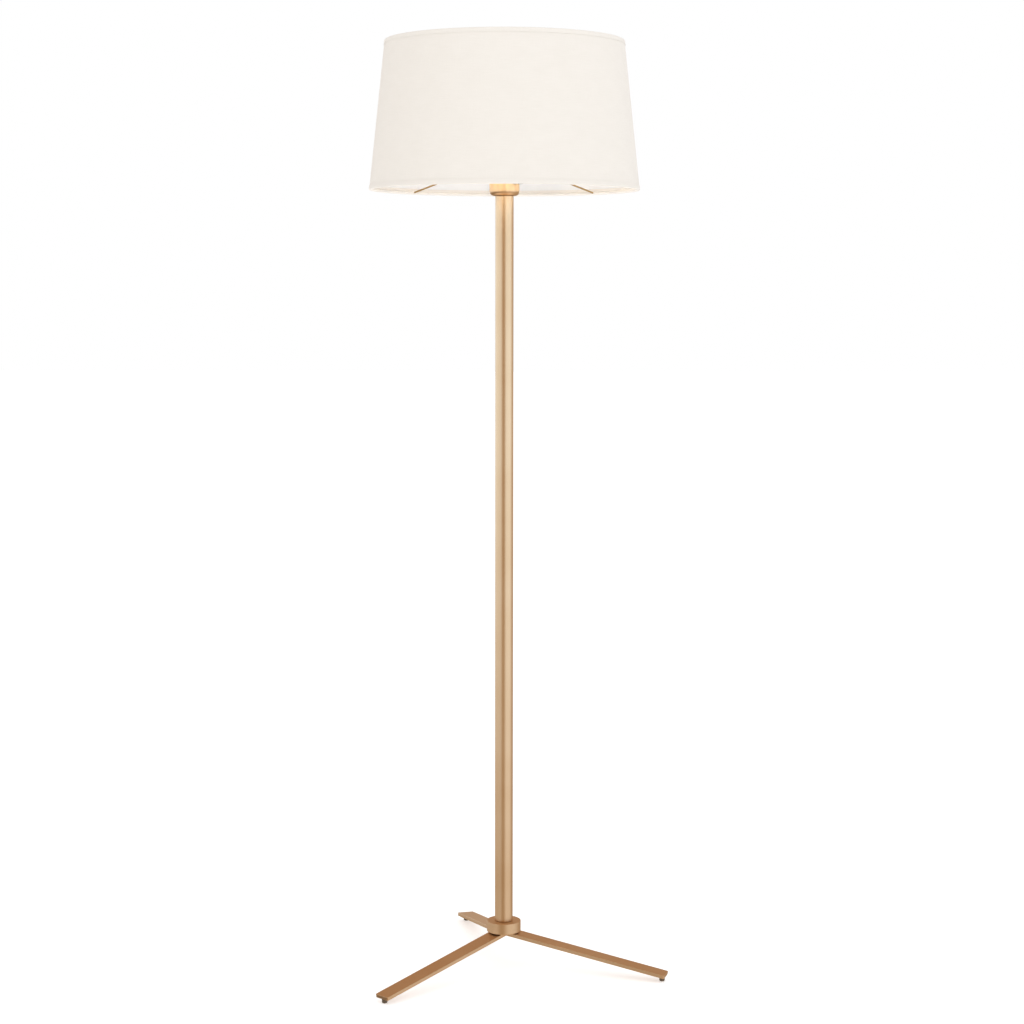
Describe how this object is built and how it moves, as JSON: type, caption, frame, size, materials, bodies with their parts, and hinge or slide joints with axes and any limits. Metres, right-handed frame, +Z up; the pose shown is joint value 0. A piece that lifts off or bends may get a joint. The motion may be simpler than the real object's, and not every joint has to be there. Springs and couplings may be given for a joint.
{
  "type": "tripod floor lamp",
  "caption": "Floor lamp: a round satin gold pole on sloping flat-bar legs, with a tapered drum fabric shade on a wire fitter, a bulb in a cup lampholder and a turn switch.",
  "frame": {"origin": "where the pole's axis meets the floor", "axes": "+Z up along the pole, -Y towards the front, +X to the right of someone who faces the front"},
  "size_m": [0.5105, 0.515, 1.5909],
  "materials": {
    "satin_gold": "satin brushed gold plate",
    "zinc_steel": "bright zinc",
    "black_rubber": "matt",
    "white_nylon": "natural moulded nylon",
    "flex_sheath": "smooth flexible sheath",
    "black_moulding": "moulded, fine grain",
    "brass_plate": "bright plated",
    "black_glass": "gloss",
    "cap_metal": "drawn",
    "frosted_glass": "frosted, lit warm",
    "cream_linen": "fine plain weave",
    "white_liner": "smooth styrene sheet"
  },
  "bodies": {
    "stand": {"base_hub": "satin_gold", "leg_right": "satin_gold", "leg_front_left": "satin_gold", "leg_back": "satin_gold", "leg_screw_right_1": "zinc_steel", "leg_screw_right_2": "zinc_steel", "leg_screw_front_left_1": "zinc_steel", "leg_screw_front_left_2": "zinc_steel", "leg_screw_back_1": "zinc_steel", "leg_screw_back_2": "zinc_steel", "foot_right": "black_rubber", "foot_front_left": "black_rubber", "foot_back": "black_rubber", "cord_inlet_bush": "black_rubber", "pole_tube": "satin_gold", "pole_tie_rod": "zinc_steel", "pole_bush_lower": "white_nylon", "pole_bush_upper": "white_nylon", "rod_washer_lower": "zinc_steel", "rod_nut_lower": "zinc_steel", "rod_washer_upper": "zinc_steel", "rod_nut_upper": "zinc_steel", "inner_flex": "flex_sheath", "lampholder_cup": "satin_gold", "lampholder_body": "black_moulding", "lampholder_shell": "brass_plate", "lampholder_contact": "brass_plate"},
    "switch": {"switch_spindle": "brass_plate", "switch_knob": "black_moulding"},
    "bulb": {"bulb_tip": "black_glass", "bulb_cap": "cap_metal", "bulb_globe": "frosted_glass"},
    "shade": {"fitter_ring": "brass_plate", "fitter_arm_1": "brass_plate", "fitter_arm_2": "brass_plate", "fitter_arm_3": "brass_plate", "fitter_arm_4": "brass_plate", "shade_fabric": "cream_linen", "shade_liner": "white_liner", "shade_hem_bottom": "cream_linen", "shade_hem_top": "cream_linen", "shade_wire_bottom": "brass_plate", "shade_wire_top": "brass_plate"},
    "clamp_ring": {"shade_clamp_ring": "black_moulding"}
  },
  "joints": [
    {"name": "switch_turn", "type": "hinge", "parent": "stand", "child": "switch", "pos_m": [0.02703, -0.01893, 1.36], "axis": [0.8192, -0.5736, 0], "continuous": true},
    {"name": "bulb_lift", "type": "slide", "parent": "stand", "child": "bulb", "axis": [0, 0, 1], "range_m": [0, 0.08]},
    {"name": "shade_swivel", "type": "hinge", "parent": "stand", "child": "shade", "pos_m": [0, 0, 1.3916], "axis": [0, 0, 1], "continuous": true},
    {"name": "clamp_ring_turn", "type": "hinge", "parent": "stand", "child": "clamp_ring", "pos_m": [0, 0, 1.3964], "axis": [0, 0, 1], "range_deg": [0, 1080]}
  ]
}
